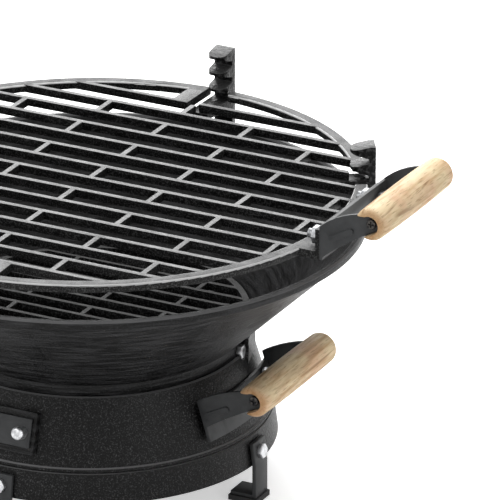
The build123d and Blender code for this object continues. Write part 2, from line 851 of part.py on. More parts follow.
grate_grip_z = grate_top_z + grate_grip_above
grate_handle = (grate_flange_x, grate_flange_z, grate_grip_x, grate_grip_z)
right_grate_bracket = make_bracket(
    *grate_handle, grate_backing.part, grate_flange.part, grate_bolt_planes[:2]
)
right_grate_bracket.part.label = "right_grate_bracket"
export_step(right_grate_bracket.part, "parts/right_grate_bracket.step")
right_grate_grip = make_grip(*grate_handle)
right_grate_grip.part.label = "right_grate_grip"
export_step(right_grate_grip.part, "parts/right_grate_grip.step")


def wide_cone(extra, low_z, high_z):
    """Cone that touches the drum's wall at +X and curves more gently, grown by extra."""
    with BuildPart() as cone:
        with Locations((-base_flange_curve, 0, low_z)):
            Cone(
                drum_radius(low_z) + base_flange_curve + extra,
                drum_radius(high_z) + base_flange_curve + extra,
                high_z - low_z,
                align=(Align.CENTER, Align.CENTER, Align.MIN),
            )
    return cone.part


with BuildPart() as base_flange:
    add(wide_cone(seat_gap + bracket_wall, base_flange_z, base_flange_top_z))
    add(wide_cone(seat_gap, base_flange_z, base_flange_top_z), mode=Mode.SUBTRACT)
    with BuildSketch(Plane.XY.offset(base_flange_z)):
        Rectangle(
            2 * drum_bottom_radius,
            2 * bracket_half_width,
            align=(Align.MIN, Align.CENTER),
        )
    extrude(amount=bracket_height, mode=Mode.INTERSECT)

base_root_x = drum_radius(base_flange_top_z) - bracket_wall - bracket_height / 2
base_handle = (base_root_x, base_flange_z, base_grip_x, base_grip_z)
base_backing = wide_cone(seat_gap, base_flange_z - bracket_height, base_flange_top_z + bracket_height)
right_base_bracket = make_bracket(
    *base_handle, base_backing, base_flange.part, base_bolt_planes[:2]
)
right_base_bracket.part.label = "right_base_bracket"
export_step(right_base_bracket.part, "parts/right_base_bracket.step")
right_base_grip = make_grip(*base_handle)
right_base_grip.part.label = "right_base_grip"
export_step(right_base_grip.part, "parts/right_base_grip.step")

for name, right_piece in (
    ("left_grate_bracket", right_grate_bracket),
    ("left_grate_grip", right_grate_grip),
    ("left_base_bracket", right_base_bracket),
    ("left_base_grip", right_base_grip),
):
    with BuildPart() as left_piece:
        mirror(right_piece.part, about=Plane.YZ)
    left_piece.part.label = name
    export_step(left_piece.part, f"parts/{name}.step")

grate_grip_screws = make_wood_screws(grate_grip_x, grate_grip_z)
grate_grip_screws.part.label = "grate_grip_screws"
export_step(grate_grip_screws.part, "parts/grate_grip_screws.step")
base_grip_screws = make_wood_screws(base_grip_x, base_grip_z)
base_grip_screws.part.label = "base_grip_screws"
export_step(base_grip_screws.part, "parts/base_grip_screws.step")

grate_clamped = bracket_wall + seat_gap + upstand_wall
grate_bracket_bolts = make_bolts(grate_bolt_planes, 0, grate_clamped)
grate_bracket_bolts.part.label = "grate_bracket_bolts"
export_step(grate_bracket_bolts.part, "parts/grate_bracket_bolts.step")
grate_bracket_nuts = make_nuts(grate_bolt_planes, grate_clamped)
grate_bracket_nuts.part.label = "grate_bracket_nuts"
export_step(grate_bracket_nuts.part, "parts/grate_bracket_nuts.step")

base_bolt_lift = base_bolt_standoff + bracket_wall
base_nut_depth = drum_wall + slip_gap
base_bracket_bolts = make_bolts(base_bolt_planes, base_bolt_lift, base_bolt_lift + base_nut_depth)
base_bracket_bolts.part.label = "base_bracket_bolts"
export_step(base_bracket_bolts.part, "parts/base_bracket_bolts.step")
base_bracket_nuts = make_nuts(base_bolt_planes, base_nut_depth)
base_bracket_nuts.part.label = "base_bracket_nuts"
export_step(base_bracket_nuts.part, "parts/base_bracket_nuts.step")

# Air vent: a flat cast frame on the cone, and a shutter that swings on a pivot screw
with BuildPart() as vent_frame:
    with BuildSketch(vent_plane.offset(vent_frame_proud)):
        RectangleRounded(vent_frame_width, vent_frame_height, edge_round)
        with Locations((vent_window_shift, 0)):
            Rectangle(vent_window_width, vent_window_height, mode=Mode.SUBTRACT)
    extrude(amount=-2 * vent_frame_proud - drum_wall)
    with Locations((0, 0, drum_z)):
        Cone(
            drum_radius(drum_z) + seat_gap,
            drum_radius(drum_top_z) + seat_gap,
            drum_height,
            align=(Align.CENTER, Align.CENTER, Align.MIN),
            mode=Mode.SUBTRACT,
        )
    with BuildSketch(vent_plane.offset(vent_frame_proud)):
        with Locations((shutter_pivot_x, 0)):
            Circle(pivot_diameter / 2 + fit_gap)
    extrude(amount=-2 * vent_frame_proud, mode=Mode.SUBTRACT)
vent_frame.part.label = "vent_frame"
export_step(vent_frame.part, "parts/vent_frame.step")

shutter_low = vent_frame_proud + seat_gap
shutter_face = shutter_low + shutter_thickness

with BuildPart() as air_shutter:
    with BuildSketch(vent_plane.offset(shutter_low)):
        with Locations(((shutter_pivot_x + shutter_end_x) / 2, 0)):
            Rectangle(shutter_end_x - shutter_pivot_x, 2 * shutter_half_height)
        with Locations((shutter_pivot_x, 0)):
            Circle(shutter_half_height)
        with Locations((shutter_pivot_x, 0)):
            Circle(pivot_diameter / 2 + fit_gap, mode=Mode.SUBTRACT)
    extrude(amount=shutter_thickness)
air_shutter.part.label = "air_shutter"
export_step(air_shutter.part, "parts/air_shutter.step")

with BuildPart() as shutter_knob:
    with BuildSketch(vent_plane.offset(shutter_face)):
        with Locations((knob_x, 0)):
            Circle(knob_radius)
    extrude(amount=knob_height)
    chamfer(shutter_knob.faces().sort_by(Axis.Y)[0].edges(), edge_round)
shutter_knob.part.label = "shutter_knob"
export_step(shutter_knob.part, "parts/shutter_knob.step")

with BuildPart() as shutter_pivot:
    with BuildSketch(vent_plane.offset(shutter_face + seat_gap)):
        with Locations((shutter_pivot_x, 0)):
            Circle(pivot_head_diameter / 2)
    extrude(amount=pivot_head_height)
    with BuildSketch(vent_plane.offset(shutter_face + seat_gap)):
        with Locations((shutter_pivot_x, 0)):
            Circle(pivot_diameter / 2)
    extrude(amount=-(seat_gap + shutter_thickness + seat_gap + pivot_grip))
shutter_pivot.part.label = "shutter_pivot"
export_step(shutter_pivot.part, "parts/shutter_pivot.step")
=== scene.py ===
from math import cos, radians, sin

import bpy
from mathutils import Matrix, Vector


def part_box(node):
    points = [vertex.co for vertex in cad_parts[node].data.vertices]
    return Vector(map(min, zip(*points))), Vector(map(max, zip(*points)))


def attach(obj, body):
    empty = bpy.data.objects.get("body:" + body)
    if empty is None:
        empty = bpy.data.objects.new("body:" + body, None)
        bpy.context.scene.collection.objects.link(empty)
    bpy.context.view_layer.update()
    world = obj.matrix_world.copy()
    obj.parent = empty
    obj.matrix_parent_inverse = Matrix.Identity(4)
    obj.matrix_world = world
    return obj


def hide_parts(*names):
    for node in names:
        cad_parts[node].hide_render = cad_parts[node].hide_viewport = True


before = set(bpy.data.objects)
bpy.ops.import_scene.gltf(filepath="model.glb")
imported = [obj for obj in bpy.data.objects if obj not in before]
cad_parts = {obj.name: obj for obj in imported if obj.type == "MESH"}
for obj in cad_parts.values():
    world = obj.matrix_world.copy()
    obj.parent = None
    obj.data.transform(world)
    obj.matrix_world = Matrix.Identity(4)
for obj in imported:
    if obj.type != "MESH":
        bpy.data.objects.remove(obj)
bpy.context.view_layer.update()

# Table-top barrel grill. Cast, bent and turned pieces are remade from the CAD pieces with
# the soft edges of the real ones, and the wood screws get their cross recesses.

mm = 0.001

# Camera, fitted to the pattern of the grate's bars
camera_azimuth = 28.77
camera_elevation = 21.96
camera_roll = -0.53
camera_distance = 3.858
focal_pixels = 6310.0
picture_pixels = 500.0
sensor_width = 36.0
aim_point = Vector((0.0, 0.0, 0.192))
aim_pixel = (90.0, 177.0)
camera_reach = 100.0

# Rounds on the edges in millimetres, and the angles in degrees that decide where they go
cast_round = 0.7
thin_cast_round = 0.35
sheet_round = 0.3
hardware_round = 0.4
wood_round = 0.6
round_steps = 2
sharp_angle = 28.0
smooth_angle = 40.0

# What counts in a copied CAD mesh as one point, in millimetres, and as one flat face, in degrees
merge_gap = 0.01
flat_angle = 0.6

# Cross recess in the heads of the wood screws, in millimetres
recess_length = 3.8
recess_width = 0.9
recess_depth = 1.0

# Inside radius of the grate's ring, and how far to each side the painted light on upper faces changes, in
# millimetres
grate_ring_inner = 161.0
grate_ring_fade = 1.0

# Depth of the painted highlight on the bowl's lip in millimetres, and how many times as deep it fades out
lip_highlight_depth = 1.3
lip_highlight_fade = 1.2

# Pattern sizes in millimetres, with grit, peel and pores drawn coarser than real ones, to show
iron_blotch = 9.0
bowl_streak = 24.0
bowl_grit = 1.2
coat_peel = 1.5
coat_glint = 0.9
paint_mottle = 12.0
paint_peel = 0.9
wood_patch = 24.0
wood_growth = 8.0
wood_fibre = 2.6
wood_pore = 0.8
zinc_cloud = 2.2
black_cloud = 1.5
rubber_grain = 0.8

# How many times flatter the bowl's streaks are, and at what share the wood changes along its grain
streak_flattening = 14.0
grain_stretch = 0.09

# How far each grip's pattern lies from the one before it in metres, so that no two are alike
wood_step = (0.37, 0.11, 0.53)

# Gloss of the black coatings on iron and on the base
black_coat_gloss = 0.16

# Floor in metres, its glow and the sky's strength as a light, and the height that the lamps face
floor_size = 60.0
floor_drop = 0.0005
floor_glow = 0.5
sky_light = 0.45
lamp_aim_height = 0.12


def linear(hex_colour):
    """An sRGB hex colour as linear red, green, blue and alpha."""
    parts = [int(hex_colour[i:i + 2], 16) / 255 for i in (1, 3, 5)]
    return [p / 12.92 if p <= 0.04045 else ((p + 0.055) / 1.055) ** 2.4 for p in parts] + [1.0]


def add_node(tree, kind, inputs=None, **settings):
    """Adds a node. In inputs, another node's output is linked and a plain value is set."""
    node = tree.nodes.new(kind)
    for name, value in settings.items():
        setattr(node, name, value)
    for name, value in (inputs or {}).items():
        if isinstance(value, bpy.types.NodeSocket):
            tree.links.new(value, node.inputs[name])
        else:
            node.inputs[name].default_value = value
    return node


def start_material(name):
    """A new material: its tree, its shader and the coordinates that its patterns use."""
    material = bpy.data.materials.new(name)
    material.use_nodes = True
    tree = material.node_tree
    tree.nodes.clear()
    shader = add_node(tree, "ShaderNodeBsdfPrincipled")
    add_node(tree, "ShaderNodeOutputMaterial", {"Surface": shader.outputs["BSDF"]})
    place = add_node(tree, "ShaderNodeTexCoord").outputs["Object"]
    return material, tree, shader, place


def finish_material(tree, shader, colour, sheen, bump):
    """Gives the shader the colour, the roughness and the relief that the patterns end in."""
    tree.links.new(colour.outputs[2], shader.inputs["Base Color"])
    tree.links.new(sheen.outputs["Result"], shader.inputs["Roughness"])
    tree.links.new(bump.outputs["Normal"], shader.inputs["Normal"])


# Grey cast iron, sand-cast, ground flat on top and thinly enamelled: black gritty sides, upper faces
# in a mottled grey that is painted light, and painted highlights on the edges. Upper faces beyond the
# ring's inner radius, the grate's ring among them, get less of that painted light, so they stay darker.
def enamelled_cast_iron(name, grit_mm, relief_mm, lit_top_hex, edge_highlight_hex, roughness):
    material, tree, shader, place = start_material(name)
    shader.inputs["Specular IOR Level"].default_value = black_coat_gloss
    grit = add_node(tree, "ShaderNodeTexNoise", {
        "Vector": place, "Scale": 1 / (grit_mm * mm), "Detail": 5.0,
    }).outputs["Fac"]
    blotch = add_node(tree, "ShaderNodeTexNoise", {"Vector": place, "Scale": 1 / (iron_blotch * mm)})
    normal = add_node(tree, "ShaderNodeNewGeometry").outputs["True Normal"]
    upward = add_node(tree, "ShaderNodeSeparateXYZ", {0: normal}).outputs["Z"]
    level_place = add_node(tree, "ShaderNodeVectorMath", {
        0: place, 1: (1.0, 1.0, 0.0),
    }, operation="MULTIPLY")
    from_axis = add_node(tree, "ShaderNodeVectorMath", {0: level_place.outputs[0]}, operation="LENGTH")
    # Upper faces beyond the ring's inner radius keep only part of the painted light
    top_light_share = add_node(tree, "ShaderNodeMapRange", {
        "Value": from_axis.outputs["Value"], "From Min": (grate_ring_inner - grate_ring_fade) * mm,
        "From Max": (grate_ring_inner + grate_ring_fade) * mm, "To Min": 1.0, "To Max": 0.42,
    })
    gritty = add_node(tree, "ShaderNodeMapRange", {"Value": grit, "From Min": 0.48, "From Max": 0.68})
    sides = add_node(tree, "ShaderNodeMix", {
        0: gritty.outputs["Result"], 6: linear("#050505"), 7: linear("#474747"),
    }, data_type="RGBA")
    # Painted highlights on the rounded edges, picked out by how far they face upward
    edge_highlight_mask = add_node(tree, "ShaderNodeMapRange", {
        "Value": upward, "From Min": 0.22, "From Max": 0.4,
    })
    edges = add_node(tree, "ShaderNodeMix", {
        0: edge_highlight_mask.outputs["Result"], 6: sides.outputs[2], 7: linear(edge_highlight_hex),
    }, data_type="RGBA")
    # Upper faces: a grey painted light, mottled by the grit
    dusty = add_node(tree, "ShaderNodeMapRange", {
        "Value": grit, "From Min": 0.3, "From Max": 0.6, "To Min": 0.35,
    })
    top_light_and_dust = add_node(tree, "ShaderNodeMath", {
        0: dusty.outputs["Result"], 1: top_light_share.outputs["Result"],
    }, operation="MULTIPLY")
    lit_tops = add_node(tree, "ShaderNodeMix", {
        0: top_light_and_dust.outputs[0], 6: linear("#1c1c1c"), 7: linear(lit_top_hex),
    }, data_type="RGBA")
    on_top = add_node(tree, "ShaderNodeMapRange", {
        "Value": upward, "From Min": 0.95, "From Max": 0.99,
    })
    colour = add_node(tree, "ShaderNodeMix", {
        0: on_top.outputs["Result"], 6: edges.outputs[2], 7: lit_tops.outputs[2],
    }, data_type="RGBA")
    sheen = add_node(tree, "ShaderNodeMapRange", {
        "Value": blotch.outputs["Fac"], "From Min": 0.3, "From Max": 0.7,
        "To Min": roughness - 0.08, "To Max": roughness + 0.1,
    })
    bump = add_node(tree, "ShaderNodeBump", {"Height": grit, "Distance": relief_mm * mm, "Strength": 0.8})
    finish_material(tree, shader, colour, sheen, bump)
    return material


# Cast iron, turned and coated, on the bowl: dark streaks run round it under a soft sheen, their pale
# parts painted reflections, and the corners of its lip carry painted highlights
def coated_bowl_iron(lip_top):
    material, tree, shader, place = start_material("coated_bowl_iron")
    shader.inputs["Specular IOR Level"].default_value = black_coat_gloss
    flattened = add_node(tree, "ShaderNodeMapping", {
        "Vector": place, "Scale": (1.0, 1.0, streak_flattening),
    })
    streaks = add_node(tree, "ShaderNodeTexNoise", {
        "Vector": flattened.outputs["Vector"], "Scale": 1 / (bowl_streak * mm),
        "Detail": 5.0, "Roughness": 0.62,
    }).outputs["Fac"]
    grit = add_node(tree, "ShaderNodeTexNoise", {
        "Vector": place, "Scale": 1 / (bowl_grit * mm), "Detail": 3.0,
    }).outputs["Fac"]
    # The paler streaks are painted reflections
    streak_and_reflection_tone = add_node(tree, "ShaderNodeMapRange", {
        "Value": streaks, "From Min": 0.44, "From Max": 0.66,
    })
    coat = add_node(tree, "ShaderNodeMix", {
        0: streak_and_reflection_tone.outputs["Result"], 6: linear("#030303"), 7: linear("#303031"),
    }, data_type="RGBA")
    speck = add_node(tree, "ShaderNodeMapRange", {
        "Value": grit, "From Min": 0.56, "From Max": 0.72, "To Max": 0.5,
    })
    specked = add_node(tree, "ShaderNodeMix", {
        0: speck.outputs["Result"], 6: coat.outputs[2], 7: linear("#3c3c3d"),
    }, data_type="RGBA")
    height = add_node(tree, "ShaderNodeSeparateXYZ", {0: place}).outputs["Z"]
    # Painted highlights on the sloping corners of the lip, near its top
    near_top = add_node(tree, "ShaderNodeMapRange", {
        "Value": height, "From Min": lip_top - lip_highlight_fade * lip_highlight_depth * mm,
        "From Max": lip_top - lip_highlight_depth * mm,
    })
    normal = add_node(tree, "ShaderNodeNewGeometry").outputs["True Normal"]
    upward = add_node(tree, "ShaderNodeSeparateXYZ", {0: normal}).outputs["Z"]
    sloping = add_node(tree, "ShaderNodeMapRange", {
        "Value": upward, "From Min": 0.99, "From Max": 0.9, "To Max": 0.5,
    })
    lip_highlight = add_node(tree, "ShaderNodeMath", {
        0: near_top.outputs["Result"], 1: sloping.outputs["Result"],
    }, operation="MULTIPLY")
    colour = add_node(tree, "ShaderNodeMix", {
        0: lip_highlight.outputs[0], 6: specked.outputs[2], 7: linear("#7c7c7d"),
    }, data_type="RGBA")
    sheen = add_node(tree, "ShaderNodeMapRange", {
        "Value": streaks, "From Min": 0.35, "From Max": 0.65, "To Min": 0.32, "To Max": 0.52,
    })
    relief = add_node(tree, "ShaderNodeMath", {0: streaks, 1: 0.8, 2: grit}, operation="MULTIPLY_ADD")
    bump = add_node(tree, "ShaderNodeBump", {
        "Height": relief.outputs[0], "Distance": 0.35 * mm, "Strength": 0.9,
    })
    finish_material(tree, shader, colour, sheen, bump)
    return material


# Textured powder coat, sprayed and baked on sheet steel: black, full of tiny pale painted glints,
# with painted highlights on upward faces where it wraps over an upper edge
def textured_powder_coat():
    material, tree, shader, place = start_material("textured_powder_coat")
    shader.inputs["Specular IOR Level"].default_value = black_coat_gloss
    peel = add_node(tree, "ShaderNodeTexNoise", {
        "Vector": place, "Scale": 1 / (coat_peel * mm), "Detail": 2.0,
    }).outputs["Fac"]
    # Painted glints: tiny pale specks in the colour
    glints = add_node(tree, "ShaderNodeTexNoise", {
        "Vector": place, "Scale": 1 / (coat_glint * mm), "Detail": 4.0, "Roughness": 0.7,
    })
    glint_tone = add_node(tree, "ShaderNodeMapRange", {
        "Value": glints.outputs["Fac"], "From Min": 0.53, "From Max": 0.68,
    })
    coat = add_node(tree, "ShaderNodeMix", {
        0: glint_tone.outputs["Result"], 6: linear("#040404"), 7: linear("#505051"),
    }, data_type="RGBA")
    normal = add_node(tree, "ShaderNodeNewGeometry").outputs["Normal"]
    upward = add_node(tree, "ShaderNodeSeparateXYZ", {0: normal}).outputs["Z"]
    # Painted highlights on faces that turn upward
    upper_edge_highlight = add_node(tree, "ShaderNodeMapRange", {
        "Value": upward, "From Min": 0.5, "From Max": 0.9, "To Max": 0.7,
    })
    colour = add_node(tree, "ShaderNodeMix", {
        0: upper_edge_highlight.outputs["Result"], 6: coat.outputs[2], 7: linear("#8c8c8d"),
    }, data_type="RGBA")
    sheen = add_node(tree, "ShaderNodeMapRange", {
        "Value": peel, "From Min": 0.3, "From Max": 0.7, "To Min": 0.32, "To Max": 0.5,
    })
    bump = add_node(tree, "ShaderNodeBump", {"Height": peel, "Distance": 0.35 * mm, "Strength": 0.9})
    finish_material(tree, shader, colour, sheen, bump)
    return material


# Satin paint, sprayed on bent sheet steel: even dark grey with a faint mottle
def satin_sheet_paint():
    material, tree, shader, place = start_material("satin_sheet_paint")
    shader.inputs["IOR"].default_value = 1.47
    shader.inputs["Specular IOR Level"].default_value = 0.28
    mottle = add_node(tree, "ShaderNodeTexNoise", {
        "Vector": place, "Scale": 1 / (paint_mottle * mm), "Detail": 3.0,
    }).outputs["Fac"]
    peel = add_node(tree, "ShaderNodeTexNoise", {
        "Vector": place, "Scale": 1 / (paint_peel * mm), "Detail": 2.0,
    }).outputs["Fac"]
    tone = add_node(tree, "ShaderNodeMapRange", {"Value": mottle, "From Min": 0.35, "From Max": 0.65})
    colour = add_node(tree, "ShaderNodeMix", {
        0: tone.outputs["Result"], 6: linear("#2c2d2e"), 7: linear("#3c3d3e"),
    }, data_type="RGBA")
    sheen = add_node(tree, "ShaderNodeMapRange", {
        "Value": mottle, "From Min": 0.3, "From Max": 0.7, "To Min": 0.4, "To Max": 0.54,
    })
    bump = add_node(tree, "ShaderNodeBump", {"Height": peel, "Distance": 0.08 * mm, "Strength": 0.6})
    finish_material(tree, shader, colour, sheen, bump)
    return material


# Turned beech, sanded and left bare: straw with peach patches, brown growth lines and fine
# pores along the grip, and darker end grain. The seed moves each grip to its own piece of wood.
def bare_beech(name, seed):
    material, tree, shader, place = start_material(name)
    shader.inputs["IOR"].default_value = 1.45
    shader.inputs["Specular IOR Level"].default_value = 0.3
    moved = add_node(tree, "ShaderNodeMapping", {
        "Vector": place, "Location": [seed * step for step in wood_step],
    }).outputs["Vector"]
    drawn_out = add_node(tree, "ShaderNodeMapping", {
        "Vector": moved, "Scale": (1.0, grain_stretch, 1.0),
    }).outputs["Vector"]
    patches = add_node(tree, "ShaderNodeTexNoise", {
        "Vector": moved, "Scale": 1 / (wood_patch * mm), "Detail": 3.0,
    })
    fibres = add_node(tree, "ShaderNodeTexNoise", {
        "Vector": drawn_out, "Scale": 1 / (wood_fibre * mm), "Detail": 5.0,
    }).outputs["Fac"]
    growth = add_node(tree, "ShaderNodeTexNoise", {
        "Vector": drawn_out, "Scale": 1 / (wood_growth * mm), "Detail": 2.0, "Distortion": 0.6,
    })
    pores = add_node(tree, "ShaderNodeTexNoise", {
        "Vector": drawn_out, "Scale": 1 / (wood_pore * mm), "Detail": 3.0,
    }).outputs["Fac"]
    patch_tone = add_node(tree, "ShaderNodeMapRange", {
        "Value": patches.outputs["Fac"], "From Min": 0.4, "From Max": 0.62,
    })
    base = add_node(tree, "ShaderNodeMix", {
        0: patch_tone.outputs["Result"], 6: linear("#e2cda6"), 7: linear("#dab794"),
    }, data_type="RGBA")
    fibre_tone = add_node(tree, "ShaderNodeMapRange", {
        "Value": fibres, "From Min": 0.46, "From Max": 0.7, "To Max": 0.65,
    })
    fibred = add_node(tree, "ShaderNodeMix", {
        0: fibre_tone.outputs["Result"], 6: base.outputs[2], 7: linear("#b58d60"),
    }, data_type="RGBA")
    growth_tone = add_node(tree, "ShaderNodeMapRange", {
        "Value": growth.outputs["Fac"], "From Min": 0.58, "From Max": 0.66, "To Max": 0.6,
    })
    lined = add_node(tree, "ShaderNodeMix", {
        0: growth_tone.outputs["Result"], 6: fibred.outputs[2], 7: linear("#8c6743"),
    }, data_type="RGBA")
    pore_tone = add_node(tree, "ShaderNodeMapRange", {
        "Value": pores, "From Min": 0.55, "From Max": 0.7, "To Max": 0.5,
    })
    pored = add_node(tree, "ShaderNodeMix", {
        0: pore_tone.outputs["Result"], 6: lined.outputs[2], 7: linear("#7d5630"),
    }, data_type="RGBA")
    normal = add_node(tree, "ShaderNodeNewGeometry").outputs["Normal"]
    along_grip = add_node(tree, "ShaderNodeSeparateXYZ", {0: normal}).outputs["Y"]
    facing_end = add_node(tree, "ShaderNodeMath", {0: along_grip}, operation="ABSOLUTE")
    end_tone = add_node(tree, "ShaderNodeMapRange", {
        "Value": facing_end.outputs[0], "From Min": 0.4, "From Max": 0.95, "To Max": 0.6,
    })
    colour = add_node(tree, "ShaderNodeMix", {
        0: end_tone.outputs["Result"], 6: pored.outputs[2], 7: linear("#a97a4c"),
    }, data_type="RGBA")
    sheen = add_node(tree, "ShaderNodeMapRange", {
        "Value": fibres, "From Min": 0.3, "From Max": 0.7, "To Min": 0.5, "To Max": 0.68,
    })
    bump = add_node(tree, "ShaderNodeBump", {"Height": pores, "Distance": 0.15 * mm, "Strength": 0.6})
    finish_material(tree, shader, colour, sheen, bump)
    return material


# Zinc-plated steel, barrel-plated: bright, with a faint cloudiness; the grate's hardware gets a darker
# copy, as painted shade
def zinc_plated_steel(name, cloudy_hex, clear_hex):
    material, tree, shader, place = start_material(name)
    shader.inputs["Metallic"].default_value = 1.0
    cloud = add_node(tree, "ShaderNodeTexNoise", {
        "Vector": place, "Scale": 1 / (zinc_cloud * mm),
    }).outputs["Fac"]
    tone = add_node(tree, "ShaderNodeMapRange", {"Value": cloud, "From Min": 0.35, "From Max": 0.65})
    colour = add_node(tree, "ShaderNodeMix", {
        0: tone.outputs["Result"], 6: linear(cloudy_hex), 7: linear(clear_hex),
    }, data_type="RGBA")
    sheen = add_node(tree, "ShaderNodeMapRange", {
        "Value": cloud, "From Min": 0.3, "From Max": 0.7, "To Min": 0.32, "To Max": 0.46,
    })
    bump = add_node(tree, "ShaderNodeBump", {"Height": cloud, "Distance": 0.05 * mm, "Strength": 0.4})
    finish_material(tree, shader, colour, sheen, bump)
    return material


# Blackened screw steel, dipped hot in oil: nearly black with a warm, oily sheen
def blackened_steel():
    material, tree, shader, place = start_material("blackened_steel")
    shader.inputs["Metallic"].default_value = 1.0
    cloud = add_node(tree, "ShaderNodeTexNoise", {
        "Vector": place, "Scale": 1 / (black_cloud * mm),
    }).outputs["Fac"]
    tone = add_node(tree, "ShaderNodeMapRange", {"Value": cloud, "From Min": 0.35, "From Max": 0.65})
    colour = add_node(tree, "ShaderNodeMix", {
        0: tone.outputs["Result"], 6: linear("#242426"), 7: linear("#4a4744"),
    }, data_type="RGBA")
    sheen = add_node(tree, "ShaderNodeMapRange", {
        "Value": cloud, "From Min": 0.3, "From Max": 0.7, "To Min": 0.3, "To Max": 0.46,
    })
    bump = add_node(tree, "ShaderNodeBump", {"Height": cloud, "Distance": 0.05 * mm, "Strength": 0.4})
    finish_material(tree, shader, colour, sheen, bump)
    return material


# Black rubber, moulded: matt with a fine grain
def moulded_rubber():
    material, tree, shader, place = start_material("moulded_rubber")
    grain = add_node(tree, "ShaderNodeTexNoise", {
        "Vector": place, "Scale": 1 / (rubber_grain * mm),
    }).outputs["Fac"]
    tone = add_node(tree, "ShaderNodeMapRange", {"Value": grain, "From Min": 0.35, "From Max": 0.65})
    colour = add_node(tree, "ShaderNodeMix", {
        0: tone.outputs["Result"], 6: linear("#131313"), 7: linear("#222222"),
    }, data_type="RGBA")
    sheen = add_node(tree, "ShaderNodeMapRange", {
        "Value": grain, "From Min": 0.3, "From Max": 0.7, "To Min": 0.72, "To Max": 0.86,
    })
    bump = add_node(tree, "ShaderNodeBump", {"Height": grain, "Distance": 0.1 * mm, "Strength": 0.5})
    finish_material(tree, shader, colour, sheen, bump)
    return material


# Each iron: painted light on its upper faces and painted highlights on its edges
grate_iron = enamelled_cast_iron(
    "enamelled_grate_iron", grit_mm=0.9, relief_mm=0.25,
    lit_top_hex="#868686", edge_highlight_hex="#bcbcbc", roughness=0.5,
)
sooty_iron = enamelled_cast_iron(
    "sooty_charcoal_grate_iron", grit_mm=0.9, relief_mm=0.25,
    lit_top_hex="#4e4e4e", edge_highlight_hex="#5c5c5c", roughness=0.6,
)
rack_iron = enamelled_cast_iron(
    "sand_cast_rack_iron", grit_mm=2.4, relief_mm=0.9,
    lit_top_hex="#3a3a3a", edge_highlight_hex="#5c5c5c", roughness=0.3,
)
bowl_iron = coated_bowl_iron(lip_top=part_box("fire_bowl")[1][2])
powder_coat = textured_powder_coat()
sheet_paint = satin_sheet_paint()
zinc = zinc_plated_steel("zinc_plated_steel", cloudy_hex="#b2b3b5", clear_hex="#dedfe1")
darker_zinc_copy = zinc_plated_steel("zinc_darker_copy", cloudy_hex="#6c6d6f", clear_hex="#a0a1a3")
black_steel = blackened_steel()
rubber = moulded_rubber()


def deselect_all():
    bpy.ops.object.select_all(action="DESELECT")


def make_active(piece):
    deselect_all()
    piece.select_set(True)
    bpy.context.view_layer.objects.active = piece


def paint(piece, material):
    piece.data.materials.clear()
    piece.data.materials.append(material)


def apply_modifiers(piece):
    make_active(piece)
    for modifier in list(piece.modifiers):
        bpy.ops.object.modifier_apply(modifier=modifier.name)


def softened(node, body, material, round_mm):
    """A copy of a CAD node with its sharp edges rounded, which stands for that node."""
    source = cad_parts[node]
    piece = source.copy()
    piece.data = source.data.copy()
    piece.name = node + "_finished"
    piece.data.name = piece.name
    piece.parent = None
    piece.matrix_world = Matrix.Identity(4)
    bpy.context.scene.collection.objects.link(piece)
    make_active(piece)
    bpy.ops.object.mode_set(mode="EDIT")
    bpy.ops.mesh.select_all(action="SELECT")
    bpy.ops.mesh.remove_doubles(threshold=merge_gap * mm)
    bpy.ops.mesh.dissolve_limited(angle_limit=radians(flat_angle), delimit={"NORMAL"})
    bpy.ops.object.mode_set(mode="OBJECT")
    bevel = piece.modifiers.new("edges", "BEVEL")
    bevel.width = round_mm * mm
    bevel.segments = round_steps
    bevel.limit_method = "ANGLE"
    bevel.angle_limit = radians(sharp_angle)
    bevel.use_clamp_overlap = True
    apply_modifiers(piece)
    bpy.ops.object.shade_smooth_by_angle(angle=radians(smooth_angle))
    paint(piece, material)
    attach(piece, body)
    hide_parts(node)
    return piece


def recess_bars(box, wide, tall):
    """One bar of the cross recess for each of the four screw heads at the box's corners."""
    low, high = box
    head_radius = (high[2] - low[2]) / 2
    head_height = (low[2] + high[2]) / 2
    deselect_all()
    bars = []
    for x in (low[0] + head_radius, high[0] - head_radius):
        for y in (low[1], high[1]):
            bpy.ops.mesh.primitive_cube_add(size=1.0, location=(x, y, head_height))
            bpy.ops.object.mode_set(mode="EDIT")
            bpy.ops.transform.resize(value=(wide * mm, 2 * recess_depth * mm, tall * mm))
            bpy.ops.object.mode_set(mode="OBJECT")
            bars.append(bpy.context.object)
    for bar in bars:
        bar.select_set(True)
    bpy.ops.object.join()
    return bpy.context.object


def cut_recesses(screws, node):
    """Cuts the cross recess into each wood screw's head, one bar of the cross at a time."""
    for wide, tall in ((recess_length, recess_width), (recess_width, recess_length)):
        bars = recess_bars(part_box(node), wide, tall)
        cut = screws.modifiers.new("recess", "BOOLEAN")
        cut.operation = "DIFFERENCE"
        cut.object = bars
        cut.solver = "EXACT"
        apply_modifiers(screws)
        bpy.data.objects.remove(bars, do_unlink=True)


# Plain CAD pieces that only need their finish
for name, material in {
    "ash_tray": sheet_paint,
    "base_drum": powder_coat,
    "base_ring": powder_coat,
    "foot_pads": rubber,
    "shutter_pivot": zinc,
}.items():
    paint(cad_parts[name], material)

# Castings, with rounded edges
softened("cooking_grate", "cooking_grate", grate_iron, cast_round)
softened("charcoal_grate", "charcoal_grate", sooty_iron, thin_cast_round)
softened("fire_bowl", "base", bowl_iron, thin_cast_round)
for rack in ("rear_rack", "right_rack", "left_rack", "front_rack"):
    softened(rack, "base", rack_iron, cast_round)
softened("vent_frame", "base", bowl_iron, cast_round)

